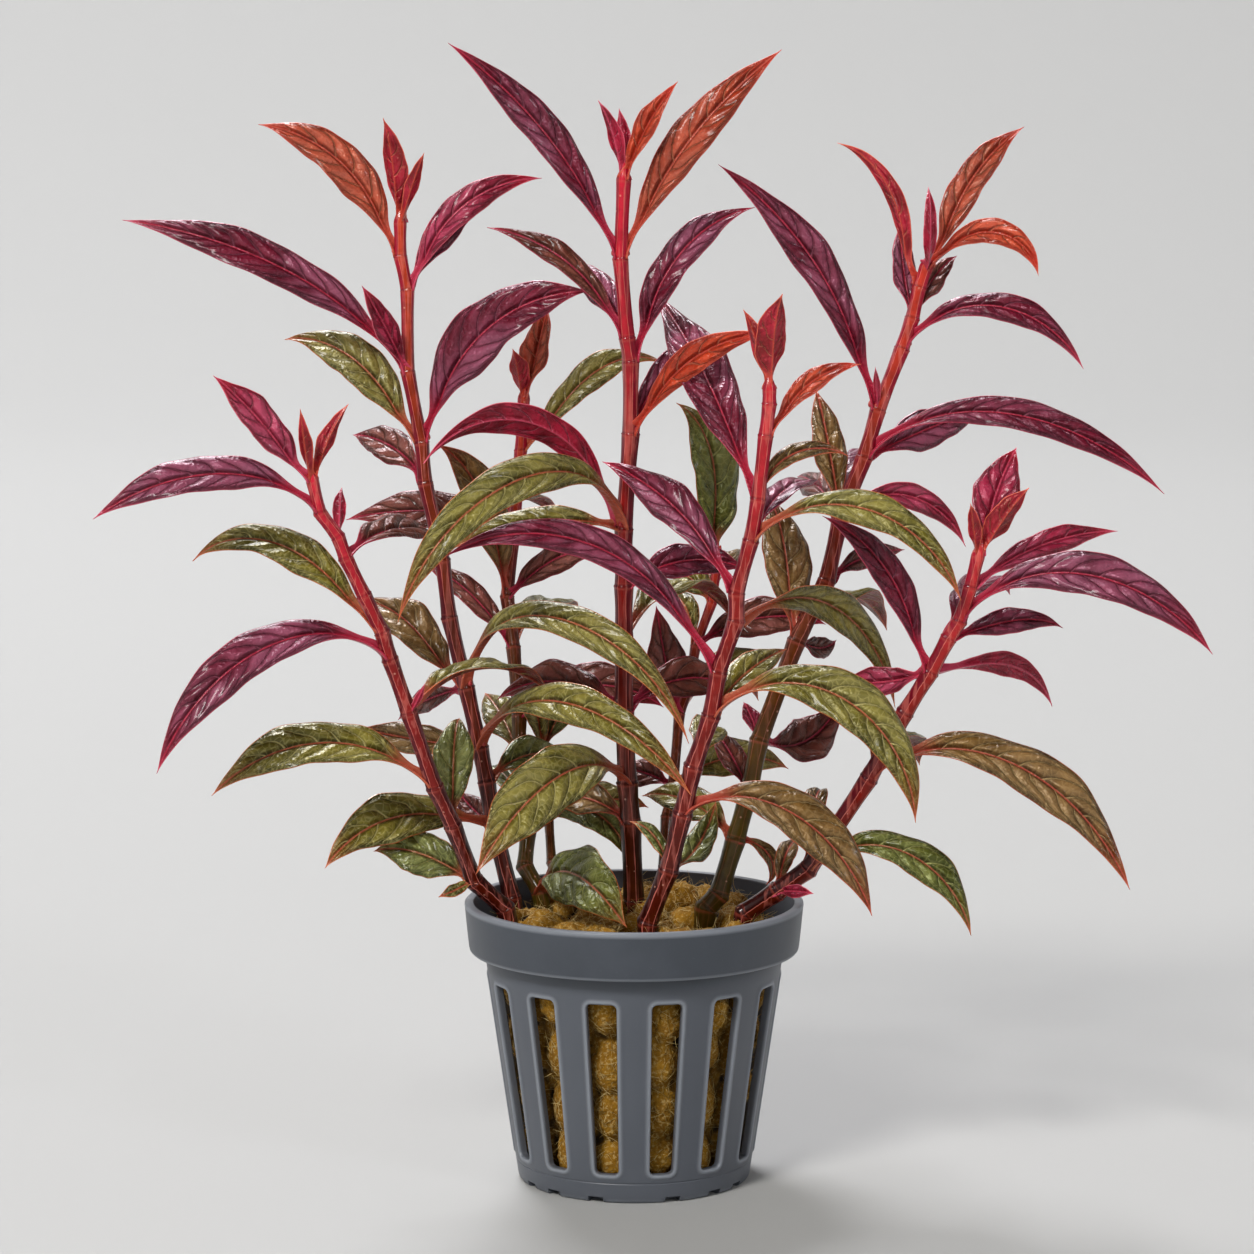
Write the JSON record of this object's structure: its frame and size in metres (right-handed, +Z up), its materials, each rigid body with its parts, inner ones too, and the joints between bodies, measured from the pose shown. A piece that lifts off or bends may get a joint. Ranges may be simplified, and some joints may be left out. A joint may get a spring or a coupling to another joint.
{
  "type": "potted aquarium stem plant",
  "caption": "Bunch of red and olive aquarium stem plants with lance-shaped leaves, rooted in a rock wool plug in a grey net pot.",
  "frame": {"origin": "centre of the flat underside of the net pot, where its axis meets the surface it stands on", "axes": "+Z up the pot's axis; -Y is the front, the side that the reference picture shows; +X is the viewer's right from the front"},
  "size_m": [0.1579, 0.0862, 0.1665],
  "materials": {
    "pot_plastic": "satin",
    "rock_wool": "matte",
    "stem": "satin",
    "leaf_ember": "satin",
    "leaf_rust": "satin",
    "leaf_crimson": "satin",
    "leaf_plum": "satin",
    "leaf_dusk": "satin",
    "leaf_bronze": "satin",
    "leaf_olive": "satin",
    "leaf_moss": "satin"
  },
  "bodies": {
    "root": {"net_pot": "pot_plastic", "rock_wool": "rock_wool", "left_front_stem": "stem", "left_front_leaf_1": "leaf_moss", "left_front_leaf_2": "leaf_olive", "left_front_leaf_3": "leaf_plum", "left_front_leaf_4": "leaf_olive", "left_front_leaf_5": "leaf_plum", "left_front_leaf_6": "leaf_crimson", "left_tall_stem": "stem", "left_tall_leaf_1": "leaf_olive", "left_tall_leaf_2": "leaf_olive", "left_tall_leaf_3": "leaf_olive", "left_tall_leaf_4": "leaf_bronze", "left_tall_leaf_5": "leaf_plum", "left_tall_leaf_6": "leaf_olive", "left_tall_leaf_7": "leaf_plum", "left_tall_leaf_8": "leaf_crimson", "left_tall_leaf_9": "leaf_rust", "middle_tall_stem": "stem", "middle_tall_leaf_1": "leaf_olive", "middle_tall_leaf_2": "leaf_crimson", "middle_tall_leaf_3": "leaf_olive", "middle_tall_leaf_4": "leaf_ember", "middle_tall_leaf_5": "leaf_plum", "middle_tall_leaf_6": "leaf_dusk", "middle_tall_leaf_7": "leaf_plum", "middle_tall_leaf_8": "leaf_rust", "front_stem": "stem", "front_leaf_1": "leaf_bronze", "front_leaf_2": "leaf_olive", "front_leaf_3": "leaf_plum", "front_leaf_4": "leaf_olive", "front_leaf_5": "leaf_plum", "front_leaf_6": "leaf_olive", "front_leaf_7": "leaf_plum", "front_leaf_8": "leaf_ember", "right_tall_stem": "stem", "right_tall_leaf_1": "leaf_bronze", "right_tall_leaf_2": "leaf_plum", "right_tall_leaf_3": "leaf_plum", "right_tall_leaf_4": "leaf_plum", "right_tall_leaf_5": "leaf_ember", "right_tall_leaf_6": "leaf_ember", "right_tall_leaf_7": "leaf_rust", "right_low_stem": "stem", "right_low_leaf_1": "leaf_moss", "right_low_leaf_2": "leaf_bronze", "right_low_leaf_3": "leaf_plum", "right_low_leaf_4": "leaf_crimson", "right_low_leaf_5": "leaf_plum", "right_low_leaf_6": "leaf_crimson", "back_left_stem": "stem", "back_left_leaf_1": "leaf_moss", "back_left_leaf_2": "leaf_moss", "back_left_leaf_3": "leaf_olive", "back_right_stem": "stem", "back_right_leaf_1": "leaf_moss", "back_slim_stem": "stem"}
  },
  "joints": []
}
